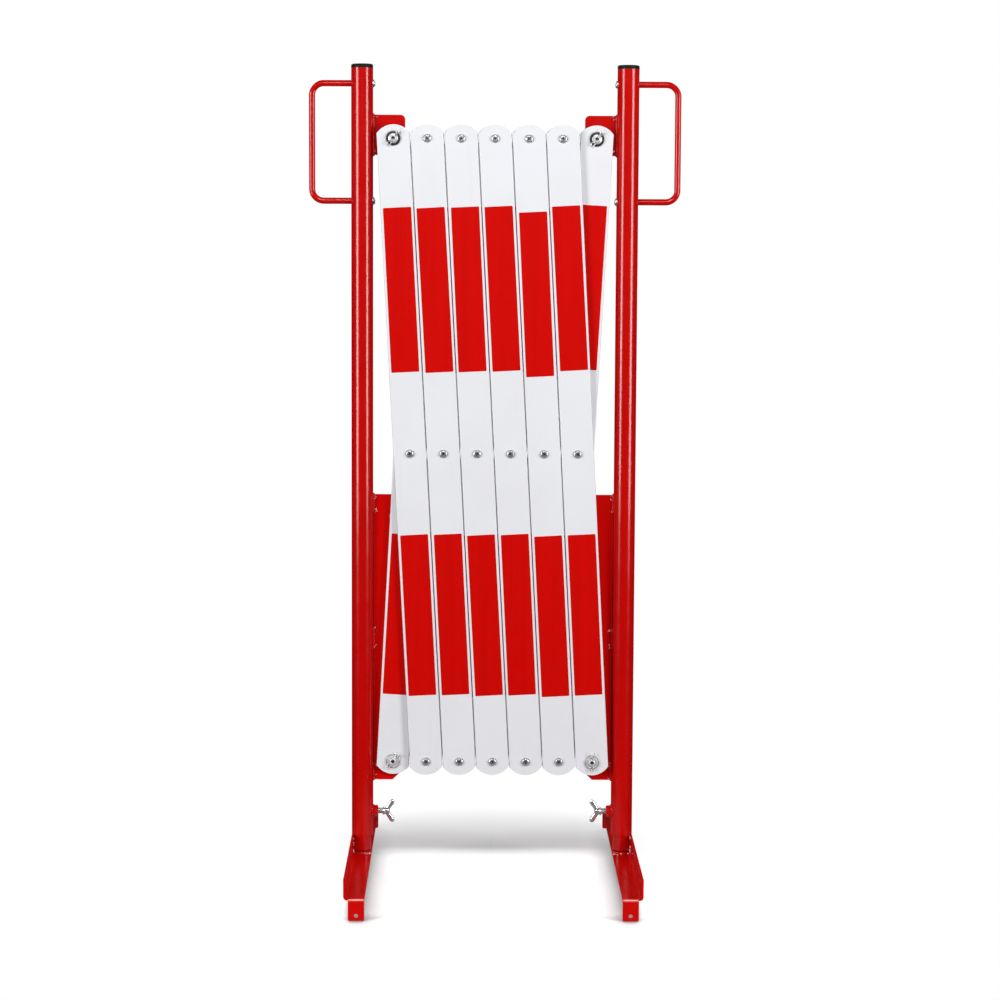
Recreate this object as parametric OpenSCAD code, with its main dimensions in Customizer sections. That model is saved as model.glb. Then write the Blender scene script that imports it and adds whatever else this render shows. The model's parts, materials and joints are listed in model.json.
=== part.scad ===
// Expandable scissor barrier, folded.
// Origin: on the ground, midway between the two posts. +Z is up, -Y is the front.

/* [Posts] */
// Height of the post tube's top end
post_top_z = 1045; // [1043:1:1060]
// Height of the post tube's bottom end
post_bottom_z = 50.4; // [50.3:0.1:56]
// Outer diameter of the post tube
post_d = 28; // [28:0.1:28.4]
// Wall of the post tube
post_wall = 2; // [1.8:0.1:2.2]
// Distance between the two post axes, folded
post_spacing = 340; // [339:0.5:346]
// Thickness of the cap's rim above the tube
cap_rim_h = 5; // [3:0.5:8]
// Depth of the cap's plug inside the tube
cap_plug_h = 14; // [10:1:16]

/* [Handles] */
// Diameter of the handle rod
handle_rod_d = 8; // [7.6:0.2:9]
// Height of the handle's upper leg
handle_top_z = 1025.5; // [1020:0.5:1028]
// Distance between the handle's two legs
handle_h = 149; // [130:1:156]
// Reach of the handle rod's axis from the post axis
handle_reach = 64; // [50:1:75]
// Radius of the handle's bends, at the rod's axis
handle_bend_r = 15; // [10:1:20]

/* [Brackets and guide plates] */
// Thickness of the welded plates
plate_t = 3; // [2:0.5:3]
// Height of the top bracket's upper edge
bracket_top_z = 986; // [982:1:992]
// Height of the top bracket
bracket_h = 51; // [46:1:60]
// Reach of the top bracket from the post axis
bracket_reach = 55; // [52:0.5:58]
// Radius of the top bracket's free corners
bracket_corner_r = 6; // [2:0.5:10]
// Height of the guide plate's lower edge
guide_bottom_z = 122.8; // [118:0.1:130]
// Height of the guide plate
guide_h = 376; // [372:1:390]
// Reach of the guide plate from the post axis
guide_reach = 59; // [56:0.5:62]
// Size of the guide plate's free corner chamfers
guide_chamfer = 19.6; // [8:0.1:22]
// Width of the slot that the lowest pin slides in
slot_w = 8.6; // [8.6:0.1:9.2]

/* [Lattice] */
// Distance from each post axis to its row of pins
pin_offset = 40; // [39:0.5:40]
// Distance between a slat's two end pivots
slat_l = 808; // [806:0.5:809]
// Width of a slat
slat_w = 42.2; // [40:0.1:42.8]
// Depth of a slat's channel section
slat_depth = 5; // [4.6:0.1:5]
// Sheet thickness of a slat
sheet_t = 1; // [0.8:0.1:1.1]
// Radius of a slat's long front edges
slat_edge_r = 1.4; // [1.2:0.1:2.2]
// Distance that a slat's round end reaches past its pivot
slat_end = 17.5; // [16:0.5:18.5]
// Radius of a slat's round end
slat_end_r = 26; // [24:0.5:30]
// Height of the top row of pivots
top_pivot_z = 956; // [954:1:958]
// How far each slat swings from folded to fully open
open_angle = 50; // [40:1:50]
// Width of a foil strip
foil_w = 36; // [30:0.5:37]
// Thickness of a foil strip
foil_t = 0.25; // [0.15:0.05:0.4]

/* [Feet] */
// Overall length of a foot
foot_l = 500; // [400:5:520]
// Leg width of the foot's L-shaped bar
foot_w = 26; // [26:0.1:26.2]
// Sheet thickness of the foot
foot_t = 2.5; // [2:0.1:2.5]
// Height of the foot plate's underside
foot_under_z = 24; // [22:0.5:24]
// Width of the folded end tabs
tab_w = 20; // [16:0.1:20]
// Diameter of the hole in each end tab
tab_hole_d = 5; // [5:0.1:7]
// Outer diameter of the spigot
spigot_d = 22.4; // [21:0.1:22.4]
// Height of the spigot's top end
spigot_top_z = 150; // [140:1:160]
// Height of the wing screw's axis
wing_z = 81; // [80:0.5:84]

/* [Hidden] */
SIDES = ["left", "right"];
cells = 6;
CELLS = [1:cells];
SIDE_NODES = ["_post_tube", "_post_cap", "_handle", "_handle_screws", "_top_bracket", "_guide_plate",
    "_clamp_nut", "_top_pin", "_slide_pin", "_foot_spigot", "_foot_plate", "_wing_screw"];
CELL_NODES = ["front_slat_", "back_slat_", "pivot_bushes_", "pivot_screws_"];

fine = 96;              // $fn of large round surfaces
small = 48;             // $fn of screws, pins and bends
eps = 0.02;             // gap left at a curved face that another solid meets
run = 0.08;             // radial running clearance of a hinge pin
past = 1;               // how far a cutting shape reaches past what it cuts

red = [0.78, 0.06, 0.05];
white = [0.92, 0.92, 0.94];
foil_red = [0.87, 0.06, 0.03];
zinc = [0.72, 0.72, 0.70];
dark_zinc = [0.30, 0.30, 0.31];
black = [0.06, 0.06, 0.07];

post_x = post_spacing / 2;
post_r = post_d / 2;
pitch = (post_spacing - 2 * pin_offset) / cells;
lean = asin(pitch / slat_l);                        // slat's angle from upright, folded
bottom_pivot_z = top_pivot_z - slat_l * cos(lean);
open_pivot_z = top_pivot_z - slat_l * cos(lean + open_angle);
first_x = -post_x + pin_offset;                     // x of the leftmost pivots

// Layers from front to back: front web, bush collar, back web, guide plates
collar_l = 5.2;                                     // gap between the two webs
plate_gap = 1.2;                                    // gap from the back slats to the plates
back_web_y = -plate_t / 2 - plate_gap - slat_depth; // front face of the back slats
front_web_y = back_web_y - collar_l - sheet_t;      // front face of the front slats

pin_r = 4;
pin_hole_r = pin_r + run;
loose_hole_r = pin_r + 0.25;
bush_bore_r = 2.55;
collar_r = 6;
screw_r = 2.5;
head_r = 5.1;
head_h = 2.8;
stub_proud = 0.1;                                   // bush end that stands past the web

handle_screw_z = [handle_top_z, handle_top_z - handle_h];
nut_af = 13;
nut_h = 6.5;
wing_shank_r = 4;

// ---- Small shared shapes ----

// Turns a shape drawn along +Z so that it runs along -Y, towards the front
module to_front() rotate([90, 0, 0]) children();

// A round bar or hole along Y, from y0 to the larger y1
module y_rod(r, y0, y1) translate([0, y1, 0]) to_front() cylinder(h = y1 - y0, r = r, $fn = small);

// A round bar or hole along X, from x0 to x1
module x_rod(r, x0, x1) translate([x0, 0, 0]) rotate([0, 90, 0]) cylinder(h = x1 - x0, r = r, $fn = small);

// Flat ring along Y
module y_ring(r_out, r_in, y0, y1) {
    difference() {
        y_rod(r_out, y0, y1);
        y_rod(r_in, y0 - past, y1 + past);
    }
}

// The post tube's outside, to cut a shape that is welded against it
module post_cutter() translate([0, 0, -past]) cylinder(h = post_top_z + 2 * past, r = post_r + eps, $fn = fine);

// A cross recess, cut down from z = 0
module cross_recess(size, depth) {
    for (a = [0, 90]) rotate([0, 0, a]) translate([-size / 2, -size / 9, -depth]) cube([size, size / 4.5, depth + past]);
    translate([0, 0, -depth * 1.3]) cylinder(h = depth + past, r1 = size / 9, r2 = size / 3.4, $fn = small);
}

// Pan-head screw: the head's underside at z = 0, the head up, the shank down
module pan_screw(shank_r, shank_l, r, h) {
    crown = 0.75;       // share of the height that is rounded
    difference() {
        rotate_extrude($fn = small) intersection() {
            square([r, h]);
            union() {
                square([r, h * (1 - crown)]);
                translate([0, h * (1 - crown)]) pan_dome(r, h * crown);
            }
        }
        translate([0, 0, h]) cross_recess(r * 1.05, h * 0.62);
    }
    translate([0, 0, -shank_l]) cylinder(h = shank_l + past / 10, r = shank_r, $fn = small);
}

// Half section of a dome with a rounded rim: flat in the middle, an arc at the edge
module pan_dome(r, h) {
    square([r - h, h]);
    translate([r - h, 0]) intersection() {
        circle(r = h, $fn = small);
        square([h, h]);
    }
}

// Hexagon nut along X with its bore, between x0 and x1, flats up and down
module x_nut(af, x0, x1, bore_r) {
    difference() {
        translate([x0, 0, 0]) rotate([0, 90, 0]) cylinder(h = x1 - x0, r = af / sqrt(3), $fn = 6);
        x_rod(bore_r, x0 - past, x1 + past);
        // the outer face's corners are bevelled
        translate([x1 - 1, 0, 0]) rotate([0, 90, 0]) difference() {
            cylinder(h = 2, r = af, $fn = small);
            cylinder(h = 1 + eps, r1 = af / sqrt(3) + 0.1, r2 = af / 2 * 0.96, $fn = small);
            cylinder(h = 2 + past, r = af / 2 * 0.96, $fn = small);
        }
    }
}

// Places a side's shapes: they are drawn for a post at x = 0 with the lattice towards +X
module at_side(s) {
    if (s == "left") translate([-post_x, 0, 0]) children();
    else translate([post_x, 0, 0]) mirror([1, 0, 0]) children();
}

// ---- Post ----

module post_tube() color(red) difference() {
    translate([0, 0, post_bottom_z]) cylinder(h = post_top_z - post_bottom_z, r = post_r, $fn = fine);
    translate([0, 0, post_bottom_z - past])
        cylinder(h = post_top_z - post_bottom_z + 2 * past, r = post_r - post_wall, $fn = fine);
    for (z = handle_screw_z) translate([0, 0, z]) x_rod(screw_r + 0.1, -post_r - past, post_r + past);
    translate([0, 0, wing_z]) x_rod(wing_shank_r + 0.3, 0, post_r + past);
}

module post_cap() color(black) {
    rim_r = post_r + 0.1;
    edge_r = 2;
    plug_r = post_r - post_wall - 0.5;
    plug_wall = 1.6;
    rib_r = post_r - post_wall - eps;
    rib_h = 1.6;
    translate([0, 0, post_top_z]) rotate_extrude($fn = fine) {
        square([rim_r - edge_r, cap_rim_h]);
        square([rim_r, cap_rim_h - edge_r]);
        translate([rim_r - edge_r, cap_rim_h - edge_r]) intersection() {
            circle(r = edge_r, $fn = small);
            square([edge_r, edge_r]);
        }
        translate([plug_r - plug_wall, -cap_plug_h]) square([plug_wall, cap_plug_h + past]);
        for (z = [-cap_plug_h + 2, -cap_plug_h + 6, -cap_plug_h + 10])
            translate([plug_r - past, z]) square([rib_r - plug_r + past, rib_h]);
    }
}

module handle() color(red) {
    r = handle_rod_d / 2;
    leg_end = -handle_reach + handle_bend_r;
    tapped = 20;        // depth of the tapped hole in each rod end
    difference() {
        union() {
            for (z = handle_screw_z) translate([0, 0, z]) x_rod(r, leg_end, -post_r + 3);
            translate([-handle_reach, 0, handle_screw_z[1] + handle_bend_r])
                cylinder(h = handle_h - 2 * handle_bend_r, r = r, $fn = small);
            translate([leg_end, 0, handle_screw_z[0] - handle_bend_r]) rotate([90, 0, 0])
                rotate([0, 0, 90]) handle_bend(r);
            translate([leg_end, 0, handle_screw_z[1] + handle_bend_r]) rotate([90, 0, 0])
                rotate([0, 0, 180]) handle_bend(r);
        }
        post_cutter();
        for (z = handle_screw_z) translate([0, 0, z]) x_rod(screw_r + 0.05, -post_r - tapped, -post_r + past);
    }
}

module handle_bend(r) rotate_extrude(angle = 90, $fn = fine) translate([handle_bend_r, 0]) circle(r = r, $fn = small);

module handle_screws() color(zinc) {
    head_seat = 13.4;   // underside of the head, let into the curve of the tube
    reach = 16;         // thread inside the handle rod
    for (z = handle_screw_z) translate([0, 0, z]) {
        difference() {
            translate([head_seat, 0, 0]) rotate([0, 90, 0]) pan_screw(screw_r, 1, 4.75, 3.2);
            translate([0, 0, -z]) post_cutter();
        }
        x_rod(screw_r, -post_r - reach, head_seat + 1.2);
    }
}

// Flat plate in the XZ plane from an outline, centred on the posts' plane
module plate() translate([0, plate_t / 2, 0]) to_front() linear_extrude(plate_t) children();

module top_bracket() color(red) difference() {
    z0 = bracket_top_z - bracket_h;
    r = bracket_corner_r;
    plate() {
        translate([0, z0]) square([bracket_reach - r, bracket_h]);
        translate([0, z0 + r]) square([bracket_reach, bracket_h - 2 * r]);
        for (z = [z0 + r, z0 + bracket_h - r]) translate([bracket_reach - r, z]) circle(r = r, $fn = small);
    }
    post_cutter();
    translate([pin_offset, 0, top_pivot_z]) y_rod(pin_r + 0.05, -plate_t, plate_t);
}

module guide_plate() color(red) difference() {
    z1 = guide_bottom_z + guide_h;
    c = guide_chamfer;
    plate() polygon([[0, guide_bottom_z], [guide_reach - c, guide_bottom_z], [guide_reach, guide_bottom_z + c],
        [guide_reach, z1 - c], [guide_reach - c, z1], [0, z1]]);
    post_cutter();
    slot_z0 = bottom_pivot_z - 0.6;
    slot_z1 = open_pivot_z + 0.6;
    translate([pin_offset, 0, slot_z0]) y_rod(slot_w / 2, -plate_t, plate_t);
    translate([pin_offset, 0, slot_z1]) y_rod(slot_w / 2, -plate_t, plate_t);
    translate([pin_offset - slot_w / 2, -plate_t, slot_z0]) cube([slot_w, 2 * plate_t, slot_z1 - slot_z0]);
}

module clamp_nut() color(red) difference() {
    translate([0, 0, wing_z]) x_nut(nut_af, post_r - 3, post_r + nut_h, wing_shank_r + 0.1);
    post_cutter();
}

// ---- Pins ----

// Split pin: its two legs pass through the pin's end along Z, with the eye on top
module split_pin(y) {
    wire = 0.95;
    leg = 9.5;
    splay = 28;
    bent = 5;
    eye_r = 2.3;
    translate([0, y, 0]) rotate([0, 38, 0]) {
        translate([0, 0, -leg + 3]) cylinder(h = leg + 4, r = wire, $fn = 24);
        translate([0, 0, 7 + eye_r]) rotate([90, 0, 0]) rotate_extrude($fn = small)
            translate([eye_r, 0]) circle(r = wire, $fn = 24);
        for (s = [-1, 1]) translate([0, 0, -leg + 3.6]) rotate([0, 180 + s * splay, 0])
            cylinder(h = bent, r = wire * 0.8, $fn = 24);
    }
}

// Clevis pin along -Y through a plate and one slat, with spacer, washer and split pin.
// back_y is the head's front face, web_y the front face of the slat's web.
module slat_pin(back_y, spacer_y, web_y, rear_washer) {
    washer_r = 9.5;
    washer_t = 1.6;
    spacer_r = 7;
    head_t = 3;
    tail = 4.4;         // pin end past the front washer
    washer_y = web_y - 0.1;
    split_y = washer_y - washer_t - 1.5;
    end_y = washer_y - washer_t - tail;
    color(dark_zinc) {
        difference() {
            union() {
                y_rod(pin_r, end_y + 0.6, back_y + 0.5);
                translate([0, end_y + 0.6, 0]) to_front() cylinder(h = 0.6, r1 = pin_r, r2 = pin_r - 0.6, $fn = small);
                y_rod(6.5, back_y, back_y + head_t);
            }
            translate([0, split_y, 0]) rotate([0, 38, 0])
                translate([0, 0, -10]) cylinder(h = 20, r = 1.0, $fn = 24);
        }
        y_ring(washer_r, pin_r + 0.2, washer_y - washer_t, washer_y);
        if (rear_washer) y_ring(washer_r, pin_r + 0.2, back_y - washer_t, back_y - 0.01);
    }
    color(zinc) {
        y_ring(spacer_r, pin_r + 0.1, web_y + sheet_t + 0.1, spacer_y);
        split_pin(split_y);
    }
}

plate_back = plate_t / 2;
slide_gap = 0.3;        // side play of the slide pins in the guide plates

module top_pin(web_y) slat_pin(plate_back, -plate_t / 2, web_y, false);

module slide_pin(web_y) slat_pin(plate_back + slide_gap + 1.6, -plate_t / 2 - slide_gap, web_y, true);

module left_top_pin() translate([first_x, 0, top_pivot_z]) top_pin(front_web_y);
module right_top_pin() translate([-first_x, 0, top_pivot_z]) top_pin(back_web_y);
module left_slide_pin() translate([first_x, 0, bottom_pivot_z]) slide_pin(back_web_y);
module right_slide_pin() translate([-first_x, 0, bottom_pivot_z]) slide_pin(front_web_y);

// ---- Lattice ----

// Channel section of a slat in XY: front face at y = 0, open at the back
module channel_block(w, d, r) {
    translate([-w / 2, r]) square([w, d - r]);
    translate([-w / 2 + r, 0]) square([w - 2 * r, d]);
    for (s = [-1, 1]) translate([s * (w / 2 - r), r]) circle(r = r, $fn = small);
}

module channel_section() difference() {
    channel_block(slat_w, slat_depth, slat_edge_r);
    translate([0, sheet_t]) channel_block(slat_w - 2 * sheet_t, slat_depth, slat_edge_r - sheet_t);
}

// Outline of a slat in XZ as a 2D shape, with its top pivot at the origin
module slat_outline() {
    intersection() {
        translate([-slat_w / 2, -slat_l - slat_end]) square([slat_w, slat_l + 2 * slat_end]);
        union() {
            translate([-slat_w, -slat_l]) square([2 * slat_w, slat_l]);
            for (z = [slat_end - slat_end_r, -slat_l - slat_end + slat_end_r])
                translate([0, z]) circle(r = slat_end_r, $fn = fine);
        }
    }
}

// A slat with its top pivot at the origin and its front face at y = 0, hanging down.
// top_r and low_r are the radii of its end holes.
module slat(top_r, low_r) color(white) difference() {
    intersection() {
        translate([0, 0, -slat_l - slat_end - past])
            linear_extrude(slat_l + 2 * slat_end + 2 * past) channel_section();
        translate([0, slat_depth + past, 0]) to_front() linear_extrude(slat_depth + 2 * past) slat_outline();
    }
    y_rod(top_r, -past, 2 * sheet_t);
    translate([0, 0, -slat_l / 2]) y_rod(pin_hole_r, -past, 2 * sheet_t);
    translate([0, 0, -slat_l]) y_rod(low_r, -past, 2 * sheet_t);
}

// The two foil strips on a slat's front face: the second and fourth of eight equal parts, doubled
module foils() color(foil_red) {
    total = slat_l + 2 * slat_end;
    strip = total / 4;
    corner = 0.8;
    for (z = [slat_end - total / 8 - strip, slat_end - total * 5 / 8 - strip])
        translate([0, 0, z]) to_front() linear_extrude(foil_t) {
            translate([-foil_w / 2 + corner, 0]) square([foil_w - 2 * corner, strip]);
            translate([-foil_w / 2, corner]) square([foil_w, strip - 2 * corner]);
            for (x = [-1, 1]) for (u = [corner, strip - corner])
                translate([x * (foil_w / 2 - corner), u]) circle(r = corner, $fn = small);
        }
}

// Puts a slat's shapes in place: front slats lean one way and back slats the other
module at_front(k) translate([first_x + (k - 1) * pitch, front_web_y, top_pivot_z]) rotate([0, -lean, 0]) children();
module at_back(k) translate([first_x + k * pitch, back_web_y, top_pivot_z]) rotate([0, lean, 0]) children();

// The end holes of every second back slat are looser, but not where the first one holds its own slide pin
module front_slat(k) at_front(k) slat(pin_hole_r, pin_hole_r);
module back_slat(k) at_back(k) {
    if (k % 2 == 1) slat(loose_hole_r, k == 1 ? pin_hole_r : loose_hole_r);
    else slat(pin_hole_r, pin_hole_r);
}
module front_slat_foils(k) at_front(k) foils();
module back_slat_foils(k) at_back(k) foils();

// Repeats its children at the pivots whose hardware is fixed to front slat k:
// its top one, except on the first slat, its middle one, and its bottom one, except on the last
module at_pivots(k) {
    z_mid = (top_pivot_z + bottom_pivot_z) / 2;
    if (k > 1) translate([first_x + (k - 1) * pitch, 0, top_pivot_z]) children();
    translate([first_x + (k - 0.5) * pitch, 0, z_mid]) children();
    if (k < cells) translate([first_x + k * pitch, 0, bottom_pivot_z]) children();
}

bush_front = front_web_y - stub_proud;
bush_back = back_web_y + sheet_t + stub_proud;

// Collared bush: the collar keeps the two layers apart, its ends pass through the webs
module pivot_bushes(k) color(zinc) at_pivots(k) difference() {
    union() {
        y_rod(pin_r, bush_front, bush_back);
        y_rod(collar_r, front_web_y + sheet_t, back_web_y - 0.05);
    }
    y_rod(bush_bore_r, bush_front - past, bush_back + past);
}

module pivot_screws(k) color(zinc) {
    shank_l = (bush_back - bush_front) / 2 - 0.2;
    turn = [17, 64, 38];    // the recesses stop at different angles
    at_pivots(k) {
        translate([0, bush_front, 0]) rotate([0, turn[k % 3], 0]) to_front()
            pan_screw(screw_r, shank_l, head_r, head_h);
        translate([0, bush_back, 0]) rotate([0, turn[(k + 1) % 3], 0]) mirror([0, 1, 0]) to_front()
            pan_screw(screw_r, shank_l, head_r, head_h);
    }
}

// ---- Feet: drawn for a post at x = 0, the outer side towards -X ----

module foot_spigot() color(red) {
    r = spigot_d / 2;
    wall = 2.5;
    low_z = 30.1;
    floor_t = 4;
    stub_r = 7.8;
    plate_top = foot_under_z + foot_t;
    difference() {
        translate([0, 0, low_z]) cylinder(h = spigot_top_z - low_z, r = r, $fn = fine);
        translate([0, 0, low_z + floor_t]) cylinder(h = spigot_top_z - low_z, r = r - wall, $fn = fine);
    }
    translate([0, 0, plate_top + 0.1]) cylinder(h = low_z - plate_top, r = stub_r, $fn = fine);
}

// Quarter ring that joins two straight parts of a folded sheet, in 2D
module fold_2d(r_out, t) intersection() {
    difference() {
        circle(r = r_out, $fn = small);
        circle(r = r_out - t, $fn = small);
    }
    square([r_out, r_out]);
}

foot_bend_r = 4.5;      // outer radius of the foot's bends

// L section of the foot in XZ as a 2D shape
module foot_section() {
    z0 = foot_under_z;
    r = foot_bend_r;
    translate([-post_r + r, z0]) square([foot_w - r, foot_t]);
    translate([-post_r, z0 + r]) square([foot_t, foot_w - r]);
    translate([-post_r + r, z0 + r]) rotate(180) fold_2d(r, foot_t);
}

// Folded end: side view in YZ as a 2D shape, from the bar's end out to the tab
module tab_profile(bar_end) {
    y1 = foot_l / 2;
    top = foot_under_z + foot_t;
    r = foot_bend_r;
    translate([bar_end - past, foot_under_z]) square([y1 - r - bar_end + past, foot_t]);
    translate([y1 - r, top - r]) fold_2d(r, foot_t);
    translate([y1 - foot_t, 0]) square([foot_t, top - r]);
}

module foot_plate() color(red) {
    bar_end = foot_l / 2 - foot_bend_r - 1;
    inner_x = -post_r + foot_w;
    tab_x = inner_x - tab_w / 2;
    corner = 2.4;
    hole_z = 6;
    tab_top = foot_under_z + foot_t;
    difference() {
        union() {
            translate([0, bar_end, 0]) to_front() linear_extrude(2 * bar_end) foot_section();
            for (s = [0, 1]) mirror([0, s, 0]) intersection() {
                translate([inner_x - tab_w, 0, 0]) rotate([90, 0, 90]) linear_extrude(tab_w) tab_profile(bar_end);
                translate([tab_x, foot_l, 0]) to_front() linear_extrude(2 * foot_l) {
                    translate([-tab_w / 2, corner]) square([tab_w, tab_top]);
                    translate([-tab_w / 2 + corner, 0]) square([tab_w - 2 * corner, tab_top]);
                    for (x = [-1, 1]) translate([x * (tab_w / 2 - corner), corner]) circle(r = corner, $fn = small);
                }
            }
        }
        translate([tab_x, 0, hole_z]) y_rod(tab_hole_d / 2, -foot_l, foot_l);
    }
}

// Wing screw along X, pressing on the spigot. Its two wings spread in a V away from the post.
module wing_screw() color(dark_zinc) {
    tip_x = spigot_d / 2 + 0.1;
    hub_x0 = 27;
    hub_x1 = 35;
    wing_t = 3;
    paddle_x = 38.3;    // centre of a wing's round end
    paddle_z = 12;
    paddle_r = 2.9;
    translate([0, 0, wing_z]) {
        x_rod(wing_shank_r, tip_x, hub_x0 + past);
        translate([hub_x0, 0, 0]) rotate([0, 90, 0]) cylinder(h = hub_x1 - hub_x0, r1 = 5.4, r2 = 4.6, $fn = small);
        for (s = [0, 1]) mirror([0, 0, s]) translate([0, wing_t / 2, 0]) to_front() linear_extrude(wing_t) {
            polygon([[hub_x0 + 0.5, 2], [hub_x1 - 0.5, 2], [paddle_x + 2.5, paddle_z - 1.5], [paddle_x - 2.3, paddle_z + 1.8]]);
            translate([paddle_x, paddle_z]) circle(r = paddle_r, $fn = small);
        }
    }
}

for (s = SIDES) at_side(s) {
    post_tube();
    post_cap();
    handle();
    handle_screws();
    top_bracket();
    guide_plate();
    clamp_nut();
    foot_spigot();
    foot_plate();
    wing_screw();
}
left_top_pin();
right_top_pin();
left_slide_pin();
right_slide_pin();
for (k = CELLS) {
    front_slat(k);
    front_slat_foils(k);
    back_slat(k);
    back_slat_foils(k);
    pivot_bushes(k);
    pivot_screws(k);
}
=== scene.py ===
"""Looks for the folded scissor barrier, in metres: materials, welds, foils, pins and studio."""
import json
import math
import random

import bmesh
import bpy
from mathutils import Matrix, Vector


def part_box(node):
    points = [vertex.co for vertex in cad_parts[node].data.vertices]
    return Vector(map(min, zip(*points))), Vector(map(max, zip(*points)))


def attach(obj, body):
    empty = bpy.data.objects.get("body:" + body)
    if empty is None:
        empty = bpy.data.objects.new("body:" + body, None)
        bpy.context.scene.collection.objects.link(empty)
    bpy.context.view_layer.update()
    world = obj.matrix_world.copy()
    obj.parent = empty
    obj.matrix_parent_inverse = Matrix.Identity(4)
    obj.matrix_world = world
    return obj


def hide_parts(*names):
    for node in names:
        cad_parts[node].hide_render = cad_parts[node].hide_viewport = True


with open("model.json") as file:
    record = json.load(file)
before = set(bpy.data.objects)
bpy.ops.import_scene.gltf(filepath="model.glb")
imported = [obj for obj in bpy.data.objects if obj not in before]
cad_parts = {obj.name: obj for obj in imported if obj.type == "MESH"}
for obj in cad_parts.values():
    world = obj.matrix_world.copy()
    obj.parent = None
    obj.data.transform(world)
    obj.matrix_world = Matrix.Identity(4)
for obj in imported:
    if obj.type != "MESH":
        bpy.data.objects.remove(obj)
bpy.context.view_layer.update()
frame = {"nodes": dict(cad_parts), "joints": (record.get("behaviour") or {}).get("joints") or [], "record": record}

nodes = frame["nodes"]
MM = 0.001
SIDES = ("left", "right")
CELLS = range(1, 7)         # the six crossings of the lattice, from the left
POST_R = 14.0 * MM          # outside of the post tube
PLATE_HALF = 1.5 * MM       # half the thickness of the brackets and guide plates
FOOT_TOP = 26.5 * MM        # top face of the foot plate
SLAT_LENGTH = 843 * MM
FOIL_WIDTH = 36 * MM


# ---- Shader building ----

class Shader:
    """A node material with one Principled shader, built by small chained helpers."""

    def __init__(self, name, **sockets):
        self.material = bpy.data.materials.new(name)
        self.material.use_nodes = True
        self.tree = self.material.node_tree
        self.surface = self.tree.nodes["Principled BSDF"]
        self.space = self.add("ShaderNodeTexCoord").outputs["Object"]
        self.normal = None
        for socket, value in sockets.items():
            self.surface.inputs[socket.replace("_", " ")].default_value = value

    def add(self, kind, **settings):
        node = self.tree.nodes.new(kind)
        for key, value in settings.items():
            setattr(node, key, value)
        return node

    def link(self, output, socket):
        self.tree.links.new(output, socket)

    def stretch(self, scale, shift=(0, 0, 0)):
        """The surface's own coordinates, stretched, so that a texture runs along one direction."""
        mapping = self.add("ShaderNodeMapping")
        mapping.inputs["Location"].default_value = shift
        mapping.inputs["Scale"].default_value = scale
        self.link(self.space, mapping.inputs["Vector"])
        return mapping.outputs["Vector"]

    def noise(self, scale, detail=3.0, rough=0.55, space=None):
        node = self.add("ShaderNodeTexNoise")
        for socket, value in (("Scale", scale), ("Detail", detail), ("Roughness", rough)):
            node.inputs[socket].default_value = value
        self.link(space or self.space, node.inputs["Vector"])
        return node.outputs["Fac"]

    def cells(self, scale):
        node = self.add("ShaderNodeTexVoronoi")
        node.inputs["Scale"].default_value = scale
        self.link(self.space, node.inputs["Vector"])
        return node.outputs["Distance"]

    def remap(self, value, low, high, out_low=0.0, out_high=1.0):
        """Low to high becomes out_low to out_high, and stays there outside that."""
        node = self.add("ShaderNodeMapRange")
        sockets = ("From Min", "From Max", "To Min", "To Max")
        for socket, number in zip(sockets, (low, high, out_low, out_high)):
            node.inputs[socket].default_value = number
        self.link(value, node.inputs["Value"])
        return node.outputs["Result"]

    def math(self, operation, a, b):
        node = self.add("ShaderNodeMath", operation=operation)
        for socket, value in zip(node.inputs, (a, b)):
            if isinstance(value, (int, float)):
                socket.default_value = value
            else:
                self.link(value, socket)
        return node.outputs["Value"]

    def mix(self, factor, a, b):
        """Colour a where the factor is 0 and b where it is 1."""
        node = self.add("ShaderNodeMix", data_type="RGBA")
        self.link(factor, node.inputs["Factor"])
        for socket, value in zip((node.inputs[6], node.inputs[7]), (a, b)):
            if isinstance(value, tuple):
                socket.default_value = (*value, 1.0)
            else:
                self.link(value, socket)
        return node.outputs[2]

    def colour(self, output):
        self.link(output, self.surface.inputs["Base Color"])

    def roughness(self, output):
        self.link(output, self.surface.inputs["Roughness"])

    def bump(self, height, depth):
        """Adds a relief of the given depth in metres on top of any relief already there."""
        node = self.add("ShaderNodeBump")
        node.inputs["Distance"].default_value = depth
        node.inputs["Strength"].default_value = 1.0
        self.link(height, node.inputs["Height"])
        if self.normal:
            self.link(self.normal, node.inputs["Normal"])
        self.normal = node.outputs["Normal"]
        self.link(self.normal, self.surface.inputs["Normal"])


def grime(shader, clean, dirty, scale, low, high):
    """Clean colour with patches of a dirtier one."""
    return shader.mix(shader.remap(shader.noise(scale, 5.0, 0.6), low, high), clean, dirty)


# ---- Materials ----

def red_powder_coat(name, gloss, low, high, painted_light_lift=1.0):
    """Glossy red coat with a roughness from low to high. Lift brightens its red as painted light, for lighter
    copies of the same coat.
    """
    s = Shader(name, IOR=1.46, Specular_IOR_Level=gloss)
    bright, deep = (0.560 * painted_light_lift, 0.0030, 0.0020), (0.490 * painted_light_lift, 0.0026, 0.0018)
    s.colour(grime(s, bright, deep, 9.0, 0.35, 0.75))
    s.roughness(s.remap(s.noise(55.0, 4.0), 0.3, 0.7, low, high))
    s.bump(s.noise(650.0, 2.0), 0.000004)       # orange peel
    s.bump(s.noise(90.0, 2.0), 0.000003)        # slow waves in the coat
    return s.material


def weld_coat():
    """The same coat over the rough metal of a weld."""
    s = Shader("painted_weld", IOR=1.46)
    s.colour(grime(s, (0.540, 0.0030, 0.0020), (0.360, 0.0024, 0.0018), 260.0, 0.45, 0.75))
    s.roughness(s.remap(s.noise(300.0, 3.0), 0.3, 0.7, 0.20, 0.40))
    s.bump(s.noise(900.0, 4.0, 0.65), 0.00010)
    return s.material


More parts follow.
